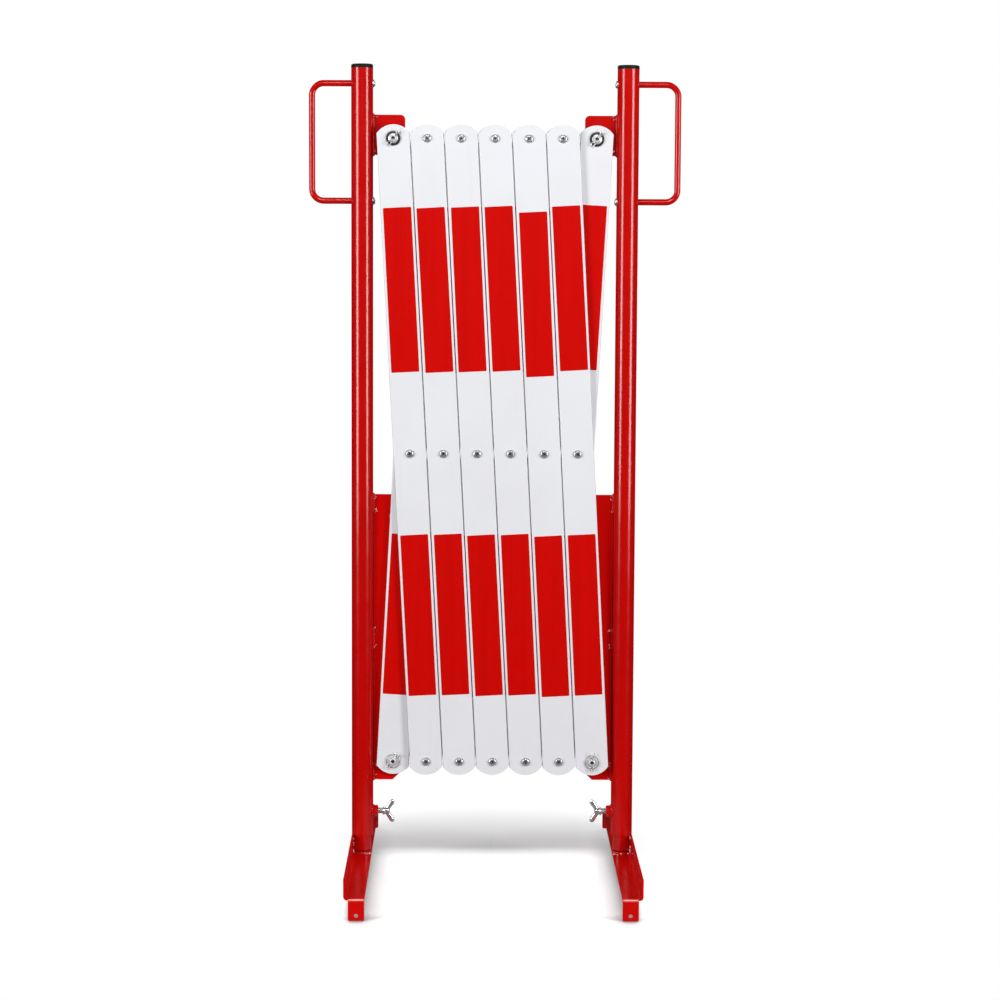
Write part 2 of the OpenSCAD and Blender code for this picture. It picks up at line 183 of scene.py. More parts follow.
def painted_gap_shade():
    """Painted shade: a dark colour for the unlit gap where a plate meets a tube between two welds."""
    s = Shader("painted_gap_shade", IOR=1.3)
    s.colour(grime(s, (0.070, 0.0010, 0.0010), (0.040, 0.0010, 0.0010), 200.0, 0.4, 0.7))
    s.roughness(s.remap(s.noise(200.0, 3.0), 0.3, 0.7, 0.60, 0.80))
    return s.material


def painted_fold_highlight():
    """Painted highlight: a pale pink colour that stands in for the shine on a sharp fold."""
    s = Shader("painted_fold_highlight", IOR=1.46)
    s.colour(grime(s, (1.000, 0.600, 0.540), (1.000, 0.480, 0.420), 300.0, 0.40, 0.75))
    s.roughness(s.remap(s.noise(300.0, 3.0), 0.3, 0.7, 0.28, 0.42))
    return s.material


def white_slat_coat():
    """Satin white coat, faintly rubbed along the slat. The turned-back sides get painted shade and the rounded
    ends a painted dark reflection.
    """
    s = Shader("white_coil_coat", IOR=1.5)
    clean = grime(s, (0.800, 0.808, 0.850), (0.760, 0.766, 0.800), 7.0, 0.42, 0.80)
    rub = s.remap(s.noise(60.0, 4.0, 0.6, s.stretch((1.0, 1.0, 0.05))), 0.62, 0.80, 0.0, 0.35)
    rubbed = s.mix(rub, clean, (0.690, 0.695, 0.725))
    facing = s.add("ShaderNodeSeparateXYZ")
    s.link(s.add("ShaderNodeTexCoord").outputs["Normal"], facing.inputs[0])
    # painted shade on the side walls, where the gaps between slats fall dark, and a painted dark reflection on the
    # rounded ends, picked by the way the surface faces
    painted_side_shade = s.remap(s.math("ABSOLUTE", facing.outputs["Y"], 0), 0.30, 0.65, 1.0, 0.0)
    painted_end_reflection = s.remap(s.math("ABSOLUTE", facing.outputs["Z"], 0), 0.22, 0.50, 0.0, 0.8)
    s.colour(s.mix(s.math("MAXIMUM", painted_side_shade, painted_end_reflection), rubbed, (0.085, 0.085, 0.092)))
    s.roughness(s.remap(s.noise(40.0, 4.0), 0.3, 0.7, 0.34, 0.48))
    s.bump(s.noise(800.0, 2.0), 0.00004)
    s.bump(s.noise(35.0, 1.0, 0.4, s.stretch((1.0, 1.0, 0.3))), 0.00020)
    return s.material


def red_foil():
    """Retroreflective sheeting: fine beads under a clear film, with faint streaks down its length."""
    s = Shader("red_foil", IOR=1.45, Specular_IOR_Level=0.06)
    streaks = s.remap(s.noise(120.0, 3.0, 0.6, s.stretch((1.0, 1.0, 0.03))), 0.35, 0.75)
    base = s.mix(streaks, (0.640, 0.0022, 0.0008), (0.575, 0.0018, 0.0007))
    beads = s.remap(s.cells(2600.0), 0.0, 0.5, 0.0, 0.22)
    s.colour(s.mix(beads, base, (0.520, 0.0016, 0.0006)))
    s.roughness(s.remap(s.noise(70.0, 4.0), 0.3, 0.7, 0.42, 0.58))
    s.bump(s.cells(2600.0), 0.00003)
    s.bump(s.noise(45.0, 2.0, 0.5, s.stretch((1.0, 1.0, 0.4))), 0.00015)
    return s.material


def black_plastic():
    """Moulded plastic with a fine grain."""
    s = Shader("black_plastic", IOR=1.40, Specular_IOR_Level=0.25)
    s.colour(grime(s, (0.005, 0.005, 0.006), (0.010, 0.010, 0.011), 120.0, 0.45, 0.75))
    s.roughness(s.remap(s.noise(200.0, 4.0), 0.3, 0.7, 0.38, 0.58))
    s.bump(s.cells(1500.0), 0.00008)
    return s.material


def zinc_plate(name, tint, dull, low, high, metal=0.8):
    """Plated steel: a slightly mottled tint with fine scratches."""
    s = Shader(name, Metallic=metal)
    s.colour(grime(s, tint, dull, 380.0, 0.40, 0.70))
    s.roughness(s.remap(s.noise(900.0, 4.0, 0.7), 0.3, 0.7, low, high))
    s.bump(s.noise(1400.0, 3.0), 0.00005)
    s.bump(s.noise(500.0, 2.0, 0.5, s.stretch((1.0, 0.15, 1.0))), 0.00004)
    return s.material


RED = red_powder_coat("red_powder_coat", 0.5, 0.13, 0.21)
# lighter copies of the same red coat on the foot and guide plates: painted light
FOOT_RED_PAINTED_LIGHT = red_powder_coat("red_foot_coat_painted_light", 0.12, 0.16, 0.26, 1.18)
GUIDE_RED_PAINTED_LIGHT = red_powder_coat("red_guide_coat_painted_light", 0.5, 0.13, 0.21, 1.22)
WELD = weld_coat()
FOLD_HIGHLIGHT = painted_fold_highlight()
PAINTED_GAP_SHADE = painted_gap_shade()
WHITE = white_slat_coat()
FOIL = red_foil()
BLACK = black_plastic()
ZINC = zinc_plate("bright_zinc", (0.76, 0.76, 0.77), (0.54, 0.54, 0.55), 0.22, 0.40)
PIN = zinc_plate("dark_steel", (0.13, 0.13, 0.135), (0.08, 0.08, 0.085), 0.18, 0.34)
WING = zinc_plate("cast_zinc", (0.76, 0.76, 0.78), (0.48, 0.48, 0.50), 0.14, 0.28, 0.85)
# pale, mostly diffuse zinc for the pin noses and small washers: real zinc with a painted sheen in place of its
# reflection
ZINC_PAINTED_SHEEN = zinc_plate("zinc_painted_sheen", (0.90, 0.90, 0.91), (0.78, 0.78, 0.79), 0.20, 0.34, 0.35)
# pale pink spatter drops: painted glints on real weld spatter
PAINTED_GLINT = zinc_plate("painted_glint_spatter", (1.00, 0.80, 0.76), (1.00, 0.58, 0.52), 0.16, 0.30, 0.1)
BY_SLOT = {"red_paint": RED, "slat_paint": WHITE, "foil": FOIL, "cap": BLACK, "zinc": ZINC,
           "pin_steel": PIN, "wing_steel": WING}


def dress(node, material):
    """Gives a carried-over CAD part its material."""
    slots = nodes[node].data.materials
    for index in range(len(slots)):
        slots[index] = material


for subpart in frame["record"]["subparts"]:
    dress(subpart["node"], BY_SLOT[subpart["material_slot"]])
for side in SIDES:
    dress(f"{side}_foot_plate", FOOT_RED_PAINTED_LIGHT)
    dress(f"{side}_guide_plate", GUIDE_RED_PAINTED_LIGHT)


def soften(node, width):
    """Rounds the sharp edges of a carried-over CAD part by a fraction of a millimetre."""
    made = nodes[node]
    weld = made.modifiers.new("weld", "WELD")
    weld.merge_threshold = 0.00001
    bevel = made.modifiers.new("soft_edges", "BEVEL")
    bevel.width = width
    bevel.segments = 2
    bevel.limit_method = "ANGLE"
    bevel.angle_limit = math.radians(40)
    bevel.harden_normals = False
    made.modifiers.new("even_normals", "WEIGHTED_NORMAL").keep_sharp = False


for side in SIDES:
    for part in ("top_bracket", "guide_plate", "foot_plate", "clamp_nut"):
        soften(f"{side}_{part}", 0.45 * MM)


# ---- New pieces ----

def piece(name, mesh, materials, body, smooth=True):
    """Turns a bmesh into a piece that rides on a body. A face's material_index picks its material."""
    data = bpy.data.meshes.new(name)
    bmesh.ops.recalc_face_normals(mesh, faces=mesh.faces)
    mesh.to_mesh(data)
    mesh.free()
    for face in data.polygons:
        face.use_smooth = smooth
    for material in materials:
        data.materials.append(material)
    made = bpy.data.objects.new(name, data)
    bpy.context.scene.collection.objects.link(made)
    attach(made, body)
    return made


def sharpen(made, angle=38):
    """Shades a piece smooth, apart from the edges that turn more than the angle."""
    made.data.set_sharp_from_angle(angle=math.radians(angle))
    return made


def lathe(mesh, origin, along, profile, sides=40, ring=False, material=0):
    """Turns (place along the axis, radius) points about the axis. A ring's profile is closed."""
    side = along.orthogonal().normalized()
    up = along.cross(side)
    turns = [2 * math.pi * k / sides for k in range(sides)]
    loops = []
    for place, radius in profile:
        centre = origin + along * place
        if radius < 1e-7:
            loops.append([mesh.verts.new(centre)])
        else:
            loops.append([mesh.verts.new(centre + (side * math.cos(t) + up * math.sin(t)) * radius)
                          for t in turns])
    for a, b in zip(loops, loops[1:] + (loops[:1] if ring else [])):
        for k in range(sides):
            corners = [a[k % len(a)], a[(k + 1) % len(a)], b[(k + 1) % len(b)], b[k % len(b)]]
            face = mesh.faces.new(list(dict.fromkeys(corners)))
            face.material_index = material


def round_corner(place, radius, edge, start, steps=4):
    """Quarter circle of profile points round (place, radius), from the start angle in degrees."""
    turns = [math.radians(start + 90 * i / steps) for i in range(steps + 1)]
    return [(place + edge * math.cos(t), radius + edge * math.sin(t)) for t in turns]


def soft_ring(y0, y1, inner, outer, edge):
    """Profile of a washer from y0 to y1 with rounded edges."""
    corners = ((y1 - edge, outer - edge), (y0 + edge, outer - edge),
               (y0 + edge, inner + edge), (y1 - edge, inner + edge))
    return [point for i, (place, radius) in enumerate(corners)
            for point in round_corner(place, radius, edge, 90 * i)]


def tube(mesh, points, radius, sides=14, material=0):
    """Adds a round wire along the points, with domed ends."""
    rings = []
    side = None
    for i, point in enumerate(points):
        along = (points[min(i + 1, len(points) - 1)] - points[max(i - 1, 0)]).normalized()
        side = (side - side.dot(along) * along if side else along.orthogonal()).normalized()
        up = along.cross(side)
        turns = [2 * math.pi * k / sides for k in range(sides)]
        rings.append([mesh.verts.new(point + (side * math.cos(t) + up * math.sin(t)) * radius)
                      for t in turns])
    faces = [(a[k], a[(k + 1) % sides], b[(k + 1) % sides], b[k])
             for a, b in zip(rings, rings[1:]) for k in range(sides)]
    ends = ((rings[0], points[0], points[1]), (rings[-1], points[-1], points[-2]))
    for ring, point, beyond in ends:
        tip = mesh.verts.new(point + (point - beyond).normalized() * radius * 0.6)
        faces += [(ring[k], ring[(k + 1) % sides], tip) for k in range(sides)]
    for corners in faces:
        mesh.faces.new(corners).material_index = material


def sweep(mesh, points, radius, rng, sides=12, ripple=0.0017, closed=False):
    """Adds a weld bead: a tube whose rings swell once per ripple and wander a little."""
    count = len(points)
    travelled = 0.0
    rings = []
    for i, point in enumerate(points):
        before = points[i - 1] if i or closed else point
        after = points[(i + 1) % count] if i + 1 < count or closed else point
        along = (after - before).normalized()
        side = along.orthogonal().normalized() if not rings else rings[-1][1]
        side = (side - side.dot(along) * along).normalized()
        travelled += (point - before).length if i else 0.0
        swell = 0.84 + 0.16 * abs(math.cos(math.pi * travelled / ripple)) + rng.uniform(-0.05, 0.05)
        if not closed:
            swell *= min(1.0, 0.45 + 0.35 * min(i, count - 1 - i))
        up = along.cross(side)
        drift = Vector([rng.uniform(-0.06, 0.06) * radius for _ in range(3)])
        ring = []
        for k in range(sides):
            angle = 2 * math.pi * k / sides
            offset = side * math.cos(angle) + up * math.sin(angle)
            ring.append(mesh.verts.new(point + drift + offset * radius * swell))
        rings.append((ring, side))
    pairs = list(zip(rings, rings[1:])) + ([(rings[-1], rings[0])] if closed else [])
    for (a, _), (b, _) in pairs:
        # the closing pair may start at another corner, so match the nearest one
        shift = min(range(sides), key=lambda s: (b[s].co - a[0].co).length)
        for k in range(sides):
            corners = (a[k], a[(k + 1) % sides], b[(k + 1 + shift) % sides], b[(k + shift) % sides])
            mesh.faces.new(corners)
    if not closed:
        mesh.faces.new(rings[0][0])
        mesh.faces.new(rings[-1][0])


WELD_STEP = 0.5 * MM        # spacing of the rings along a weld


def weld_line(a, b):
    """Points one weld step apart along the straight line from a to b."""
    count = max(1, round((b - a).length / WELD_STEP))
    return [a.lerp(b, i / count) for i in range(count)] + [b]


def weld_arc(centre, radius, start, end, frame_x, frame_y):
    """Points one weld step apart along an arc, angles in degrees from frame_x towards frame_y."""
    opening = math.radians(end - start)
    count = max(3, round(abs(opening) * radius / WELD_STEP))
    angles = [math.radians(start) + opening * i / count for i in range(count + 1)]
    return [centre + frame_x * radius * math.cos(a) + frame_y * radius * math.sin(a) for a in angles]


def spatter(mesh, spots, rng, glint_share=0.5):
    """Drops of weld metal, each (centre, radius), half sunk in the surface. A share of them is coloured pale pink
    as painted glints.
    """
    for centre, radius in spots:
        angle = rng.uniform(0, math.pi)
        axis = Vector([rng.uniform(-1, 1) for _ in range(3)]).normalized()
        longer = Matrix.Diagonal((rng.uniform(1.0, 2.4), 1.0, 1.0, 1.0))
        place = Matrix.Translation(centre) @ Matrix.Rotation(angle, 4, axis) @ longer
        made = bmesh.ops.create_icosphere(mesh, subdivisions=2, radius=radius, matrix=place)
        index = 1 if rng.random() < glint_share else 0
        for face in {face for vertex in made["verts"] for face in vertex.link_faces}:
            face.material_index = index


def post_axis(side):
    """Where the post stands along X."""
    low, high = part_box(f"{side}_post_tube")
    return (low.x + high.x) / 2


def inward(side):
    """The direction along X from a post to the lattice."""
    return 1.0 if side == "left" else -1.0


def plate_weld(side, name, z0, z1, radius, rng, ends=(False, False)):
    """Fillets on both faces where a plate meets the tube. ends says which ends the weld wraps."""
    mesh = bmesh.new()
    x = post_axis(side) + inward(side) * (POST_R + 0.5 * MM)
    y = PLATE_HALF + 0.5 * MM
    low, high = z0 - (0.3 * MM if ends[0] else 0), z1 + (0.3 * MM if ends[1] else 0)
    for face in (-1, 1):
        bead = weld_line(Vector((x, face * y, low)), Vector((x, face * y, high)))
        sweep(mesh, bead, radius, rng)
    for wrap, z in zip(ends, (low, high)):
        if wrap:
            sweep(mesh, weld_line(Vector((x, -y, z)), Vector((x, y, z))), radius, rng)
    spots = []
    for _ in range(12):
        reach = rng.uniform(1.0, 5.0) * MM
        end = z1 if rng.random() < 0.6 else z0
        z = end + (1 if end == z0 else -1) * rng.uniform(0.5, 7.0) * MM
        spot = Vector((x + inward(side) * reach, -PLATE_HALF - 0.2 * MM, z))
        spots.append((spot, rng.uniform(0.3, 0.75) * MM))
    spatter(mesh, spots, rng)
    return piece(f"{side}_{name}", mesh, [WELD, PAINTED_GLINT], f"{side}_post")


def nut_weld(side, rng):
    """Bead round the foot of the clamp nut."""
    low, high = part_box(f"{side}_clamp_nut")
    z = (low.z + high.z) / 2
    mesh = bmesh.new()
    points = []
    count, reach = 110, 7.4 * MM
    for i in range(count):
        angle = 2 * math.pi * i / count
        y = reach * math.cos(angle)
        x = math.sqrt(POST_R ** 2 - y ** 2) + 0.3 * MM      # on the round of the tube
        points.append(Vector((post_axis(side) + inward(side) * x, y, z + reach * math.sin(angle))))
    sweep(mesh, points, 1.3 * MM, rng, closed=True)
    return piece(f"{side}_nut_weld", mesh, [WELD], f"{side}_post")


def foot_weld(side, rng):
    """Bead round the spigot's foot and up both sides of its line on the flange, with spatter."""
    centre = Vector((post_axis(side), 0, FOOT_TOP))
    across, along = Vector((inward(side), 0, 0)), Vector((0, 1, 0))
    mesh = bmesh.new()
    bead = weld_arc(centre + Vector((0, 0, 0.6 * MM)), 11.4 * MM, -140, 140, across, along)
    sweep(mesh, bead, 1.5 * MM, rng)
    for y in (-3.2, 3.2):
        foot = centre - across * 11.5 * MM + along * y * MM
        sweep(mesh, weld_line(foot, foot + Vector((0, 0, 22.5 * MM))), 1.3 * MM, rng)
    spots = []
    for _ in range(40):
        angle = math.radians(rng.uniform(-150, 150))
        reach = rng.uniform(12.5, 21) * MM
        spot = across * reach * math.cos(angle) + along * reach * math.sin(angle)
        if -10 * MM < spot.dot(across) < 11 * MM:
            spots.append((centre + spot, rng.uniform(0.4, 1.0) * MM))
    for _ in range(30):
        spot = -across * 11.4 * MM + along * rng.choice((-1, 1)) * rng.uniform(4, 13) * MM
        spot += Vector((0, 0, rng.uniform(0, 22) * MM))
        spots.append((centre + spot, rng.uniform(0.4, 0.9) * MM))
    spatter(mesh, spots, rng, 0.7)
    return piece(f"{side}_foot_weld", mesh, [WELD, PAINTED_GLINT], f"{side}_foot")


def painted_fold_highlights(side):
    """Pale strip over the fold above each end tab: a painted highlight."""
    low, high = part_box(f"{side}_foot_plate")
    bend = 4.5 * MM                         # outer radius of the fold
    reach = bend + 0.15 * MM
    inner = post_axis(side) + inward(side) * 12 * MM
    strip_ends = (0.8, 19.2)                # in mm from the plate's inner edge
    mesh = bmesh.new()
    for end, y_end in ((-1, low.y), (1, high.y)):
        rows = []
        for degrees in range(41, 66, 4):
            a = math.radians(degrees)
            y = y_end - end * bend + end * reach * math.cos(a)
            z = FOOT_TOP - bend + reach * math.sin(a)
            rows.append([mesh.verts.new((inner - inward(side) * x * MM, y, z)) for x in strip_ends])
        for a, b in zip(rows, rows[1:]):
            mesh.faces.new((a[0], a[1], b[1], b[0]))
    made = piece(f"{side}_painted_fold_highlight", mesh, [FOLD_HIGHLIGHT], f"{side}_foot")
    depth = made.modifiers.new("depth", "SOLIDIFY")
    depth.thickness = 0.3 * MM
    depth.offset = 0.0


def painted_gap_shade_lines(side, runs):
    """Painted shade: a dark line between the stitches where the guide plate meets the tube, on both its faces."""
    x = post_axis(side) + inward(side) * (POST_R + 0.25 * MM)
    mesh = bmesh.new()
    for z0, z1 in runs:
        for y in (-PLATE_HALF, PLATE_HALF):
            line = [Vector((x, y, z)) for z in (z0, (z0 + z1) / 2, z1)]
            tube(mesh, line, 0.42 * MM, sides=8)
    piece(f"{side}_guide_painted_gap_shade", mesh, [PAINTED_GAP_SHADE], f"{side}_post")


def welds():
    """Every weld of both posts and feet, with painted shade in the gaps between the stitches and a painted
    highlight on the folds of the feet.
    """
    rng = random.Random(11)
    for side in SIDES:
        low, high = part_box(f"{side}_top_bracket")
        plate_weld(side, "bracket_weld", low.z, high.z, 1.5 * MM, rng, (True, True))
        low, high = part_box(f"{side}_guide_plate")
        stitch, half_stitch, bead = 24 * MM, 15 * MM, 1.4 * MM
        middle = (low.z + high.z) / 2
        plate_weld(side, "guide_weld_low", low.z, low.z + stitch, bead, rng, (True, False))
        plate_weld(side, "guide_weld_middle", middle - half_stitch, middle + half_stitch, bead, rng)
        plate_weld(side, "guide_weld_high", high.z - stitch, high.z, bead, rng, (False, True))
        gaps = ((low.z + stitch, middle - half_stitch), (middle + half_stitch, high.z - stitch))
        painted_gap_shade_lines(side, gaps)
        nut_weld(side, rng)
        foot_weld(side, rng)
        painted_fold_highlights(side)


def joint_place(name):
    """Where a joint stands in the frame."""
    return Vector(next(j for j in frame["joints"] if j["name"] == name)["pos_m"])


# Where each slat's two foils were stuck, upper then lower: shift up in mm and turn in degrees
FRONT_FOIL_SHIFTS = [((0, 0.1), (0, 0.0)), ((0, -0.2), (1, 0.1)), ((1, 0.2), (0, -0.1)),
                     ((2, 0.0), (1, 0.1)), ((-5, 0.2), (-1, 0.0)), ((3, -0.2), (1, 0.1))]
BACK_FOIL_SHIFTS = [((1, 0.0), (0, 0.1)), ((-1, 0.1), (2, 0.0)), ((0, 0.0), (-2, 0.1)),
                    ((2, -0.1), (0, 0.0)), ((-1, 0.1), (1, 0.0)), ((4, 0.1), (-1, 0.0))]


def foil_strip(mesh, centre, lean, width, length, thickness, back_y):
    """One foil: a thin sheet with rounded corners and a slightly softened front edge."""
    corner = 1.2 * MM
    outline = []
    for sx, sz, start in ((1, 1, 0), (-1, 1, 90), (-1, -1, 180), (1, -1, 270)):
        for i in range(6):
            angle = math.radians(start + 18 * i)
            outline.append((sx * (width / 2 - corner) + corner * math.cos(angle),
                            sz * (length / 2 - corner) + corner * math.sin(angle)))
    turn = Matrix.Rotation(lean, 4, "Y")
    rings = []
    layers = ((0, back_y), (0, back_y - thickness * 0.6), (thickness * 0.5, back_y - thickness))
    for inset, y in layers:
        ring = []
        for x, z in outline:
            scale_x, scale_z = 1 - 2 * inset / width, 1 - 2 * inset / length
            at = turn @ Vector((x * scale_x, 0, z * scale_z))
            ring.append(mesh.verts.new((centre.x + at.x, y, centre.z + at.z)))
        rings.append(ring)
    count = len(outline)
    for a, b in zip(rings, rings[1:]):
        for k in range(count):
            mesh.faces.new((a[k], a[(k + 1) % count], b[(k + 1) % count], b[k]))
    mesh.faces.new(rings[0])
    mesh.faces.new(rings[-1])


def foils(layer, k, shifts):
    """Both foils of one slat, in the places of its CAD foils but stuck on by hand."""
    node = f"{layer}_slat_{k}_foils"
    low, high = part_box(node)
    slat_low, slat_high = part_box(f"{layer}_slat_{k}")
    first, second = joint_place("lattice_unfold"), joint_place("bottom_pivot_2")
    tilt = math.atan2(second.x - first.x, first.z - second.z)
    lean = -tilt if layer == "front" else tilt
    middle = (slat_low + slat_high) / 2
    down = Vector((math.sin(-lean), 0, -math.cos(lean)))
    mesh = bmesh.new()
    for sign, (shift, turn) in zip((-1, 1), shifts):
        centre = middle + down * (sign * SLAT_LENGTH / 4 - shift * MM)
        foil_strip(mesh, centre, lean + math.radians(turn), FOIL_WIDTH, SLAT_LENGTH / 4,
                   high.y - low.y, high.y)
    made = piece(f"{layer}_foils_{k}", mesh, [FOIL], f"{layer}_slat_{k}", smooth=False)
    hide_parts(node)
    return made


# ---- Pins and wing screws ----

def cotter(mesh, centre, turn, material):
    """Split pin through a pin's end: a folded wire, its eye at one side, its two tips bent apart."""
    wire, gap, eye = 0.66 * MM, 0.70 * MM, 2.3 * MM
    out = Vector((math.sin(turn), 0, math.cos(turn)))
    aside = Vector((math.cos(turn), 0, -math.sin(turn)))
    bent = [(12.6, 3.0), (11.4, 2.5), (9.6, 1.7), (7.6, 1.0), (6.0, 0.74)]      # in mm from the pin's axis
    leg = [out * a * MM + aside * b * MM for a, b in bent]
    leg += [out * a * MM + aside * gap for a in (3, 0, -3, -5)]
    loop = [out * (-8.4 * MM + eye * math.cos(t)) + aside * eye * math.sin(t)
            for t in [math.radians(45 + 30 * i) for i in range(10)]]
    mirrored = [p - 2 * p.dot(aside) * aside for p in reversed(leg)]
    tube(mesh, [centre + p for p in leg + loop + mirrored], wire, material=material)


def slat_pin(node, place, body, turn):
    """End pin of the lattice: shank, head, washers, spacer and split pin."""
    low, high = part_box(node)
    origin = Vector((place.x, 0, place.z))
    tip, back = low.y, high.y
    front = tip + 4.4 * MM                  # front face of the big washer
    head = back - 3.0 * MM                  # underside of the rear head
    shank, bore, big = 4.0 * MM, 4.1 * MM, 9.4 * MM
    zinc, dark, bright = 0, 1, 2            # places in the piece's list of materials
    if "slide" in node:
        small, rise, washer, plate_front = 8.5 * MM, 0.6 * MM, zinc, -1.8 * MM
    else:
        small, rise, washer, plate_front = 6.1 * MM, 1.1 * MM, dark, -1.5 * MM
    along = Vector((0, 1, 0))
    mesh = bmesh.new()
    nose = list(reversed(round_corner(tip + 0.9 * MM, shank - 0.9 * MM, 0.9 * MM, 90)))
    # the centre recess is coloured dark steel: painted shade in the recess
    recess = [(tip + 1.5 * MM, 0), (tip + 1.2 * MM, 1.5 * MM), (tip + 0.15 * MM, 2.3 * MM)]
    lathe(mesh, origin, along, recess, material=dark)
    # the pin's nose and the small washer below take the pale zinc: a painted sheen
    lathe(mesh, origin, along, recess[-1:] + nose, material=bright)
    lathe(mesh, origin, along, nose[-1:] + [(head + 0.5 * MM, shank)])
    dome = [(back - 1.2 * MM + 1.2 * MM * math.sin(t), 6.5 * MM * math.cos(t) ** 0.6)
            for t in [math.radians(15 * i) for i in range(6)]]
    neck = [(head, shank), (head, 6.2 * MM), (head + 0.3 * MM, 6.5 * MM)]
    lathe(mesh, origin, along, neck + dome + [(back, 0)])
    rim = soft_ring(front, front + 1.6 * MM, bore, big, 0.35 * MM)
    lathe(mesh, origin, along, rim, ring=True, material=washer)
    cone = [(front, small), (front - 0.35 * MM, small), (front - rise, 4.5 * MM),
            (front - rise, 4.05 * MM), (front, 4.05 * MM)]
    lathe(mesh, origin, along, cone, ring=True, material=bright)
    spacer = soft_ring(front + 2.8 * MM, plate_front, bore, 7.0 * MM, 0.3 * MM)
    lathe(mesh, origin, along, spacer, ring=True)
    if "slide" in node:
        rear_washer = soft_ring(head - 1.6 * MM, head, bore, big, 0.35 * MM)
        lathe(mesh, origin, along, rear_washer, ring=True, material=dark)
    cotter(mesh, origin + along * (tip + 2.6 * MM), turn, zinc)
    made = sharpen(piece(f"{node}_assembly", mesh, [ZINC, PIN, ZINC_PAINTED_SHEEN], body))
    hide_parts(node)


def wing(mesh, hub, out, up, across):
    """One cast wing: oval sections that follow a curve from the hub, thin at the waist."""
    # each section: place out and up from the hub, then its two half widths, all in mm
    stations = [(-0.6, 0.8, 3.0, 2.6), (1.2, 3.2, 2.9, 2.3), (2.8, 5.6, 2.9, 2.1),
                (4.4, 7.9, 3.1, 2.1), (5.9, 10.1, 3.3, 2.1), (7.1, 12.0, 3.3, 2.0),
                (8.1, 13.6, 2.6, 1.6), (8.7, 14.5, 1.3, 0.8)]
    sides = 16
    rings = []
    for i, (x, z, broad, thick) in enumerate(stations):
        before, after = stations[max(i - 1, 0)], stations[min(i + 1, len(stations) - 1)]
        heading = (out * (after[0] - before[0]) + up * (after[1] - before[1])).normalized()
        flat = heading.cross(across).normalized()
        centre = hub + (out * x + up * z) * MM
        ring = []
        for k in range(sides):
            t = 2 * math.pi * k / sides
            rim = flat * broad * math.cos(t) + across * thick * math.sin(t)
            ring.append(mesh.verts.new(centre + rim * MM))
        rings.append(ring)
    for a, b in zip(rings, rings[1:]):
        for k in range(sides):
            mesh.faces.new((a[k], a[(k + 1) % sides], b[(k + 1) % sides], b[k]))
    mesh.faces.new(rings[0])
    mesh.faces.new(rings[-1])


def wing_screw(side):
    """Wing screw: threaded shank, waisted hub with a collar and two cast wings."""
    node = f"{side}_wing_screw"
    low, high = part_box(node)
    out = Vector((inward(side), 0, 0))
    origin = Vector((post_axis(side), 0, (low.z + high.z) / 2))
    mesh = bmesh.new()
    thread = 1.25 * MM
    start, end = 11.3 * MM, 27.5 * MM
    count = round((end - start) / thread)
    profile = [(start, 0), (start, 3.2 * MM)]
    for i in range(count):
        place = start + thread * (i + 0.25)
        profile += [(place, 4.0 * MM), (place + thread * 0.5, 3.45 * MM)]
    lathe(mesh, origin, out, profile + [(end, 3.6 * MM), (end, 0)], sides=32)
    hub = [(26.6, 0), (26.6, 4.7), (26.9, 5.2), (28.0, 5.4), (28.6, 5.1), (29.4, 4.5),
           (31.0, 4.4), (33.4, 4.7), (34.6, 4.5), (35.3, 3.6), (35.6, 2.0), (35.6, 0)]
    lathe(mesh, origin, out, [(a * MM, r * MM) for a, r in hub], sides=36)
    for up in (Vector((0, 0, 1)), Vector((0, 0, -1))):
        wing(mesh, origin + out * 31.6 * MM, out, up, Vector((0, 1, 0)))
    made = piece(f"{side}_wing_screw_cast", mesh, [WING], f"{side}_wing_screw")
    sharpen(made, 50)
    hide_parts(node)


def pins():
    """The four end pins. The lowest two slide in the guide plates with the slats that hold them."""
    top_left, top_right = joint_place("lattice_unfold"), joint_place("right_post_pivot")
    low_z = joint_place("bottom_pivot_2").z
    turn = math.radians(38)
    slat_pin("left_top_pin", top_left, "left_post", turn)
    slat_pin("right_top_pin", top_right, "right_post", turn)
    slat_pin("left_slide_pin", Vector((top_left.x, 0, low_z)), "back_slat_1", turn)
    slat_pin("right_slide_pin", Vector((top_right.x, 0, low_z)), "front_slat_6", 0.0)


def screw_shadows(k):
    """Painted shade: a dark ring round each pivot screw's head and a dark floor in its cross recess."""
    first, second = joint_place("lattice_unfold"), joint_place("bottom_pivot_2")
    pitch = second.x - first.x
    high_x, low_x = first.x + (k - 1) * pitch, first.x + k * pitch
    places = [((high_x + low_x) / 2, (first.z + second.z) / 2)]
    places += [(high_x, first.z)] if k > 1 else []
    places += [(low_x, second.z)] if k < 6 else []
    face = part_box(f"front_slat_{k}")[0].y
    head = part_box(f"pivot_screws_{k}")[0].y
    along = Vector((0, 1, 0))
    mesh = bmesh.new()
    for x, z in places:
        origin = Vector((x, 0, z))
        line = soft_ring(face - 0.35 * MM, face + 0.3 * MM, 4.9 * MM, 5.4 * MM, 0.15 * MM)
        lathe(mesh, origin, along, line, ring=True)
        top, bottom, radius = head + 1.0 * MM, head + 1.5 * MM, 2.1 * MM
        lathe(mesh, origin, along, [(top, 0), (top, radius), (bottom, radius), (bottom, 0)])
    sharpen(piece(f"screw_shadows_{k}", mesh, [PIN], f"front_slat_{k}"))


welds()
pins()
for side in SIDES:
    wing_screw(side)
for k in CELLS:
    screw_shadows(k)
    foils("front", k, FRONT_FOIL_SHIFTS[k - 1])
    foils("back", k, BACK_FOIL_SHIFTS[k - 1])


# ---- Studio ----

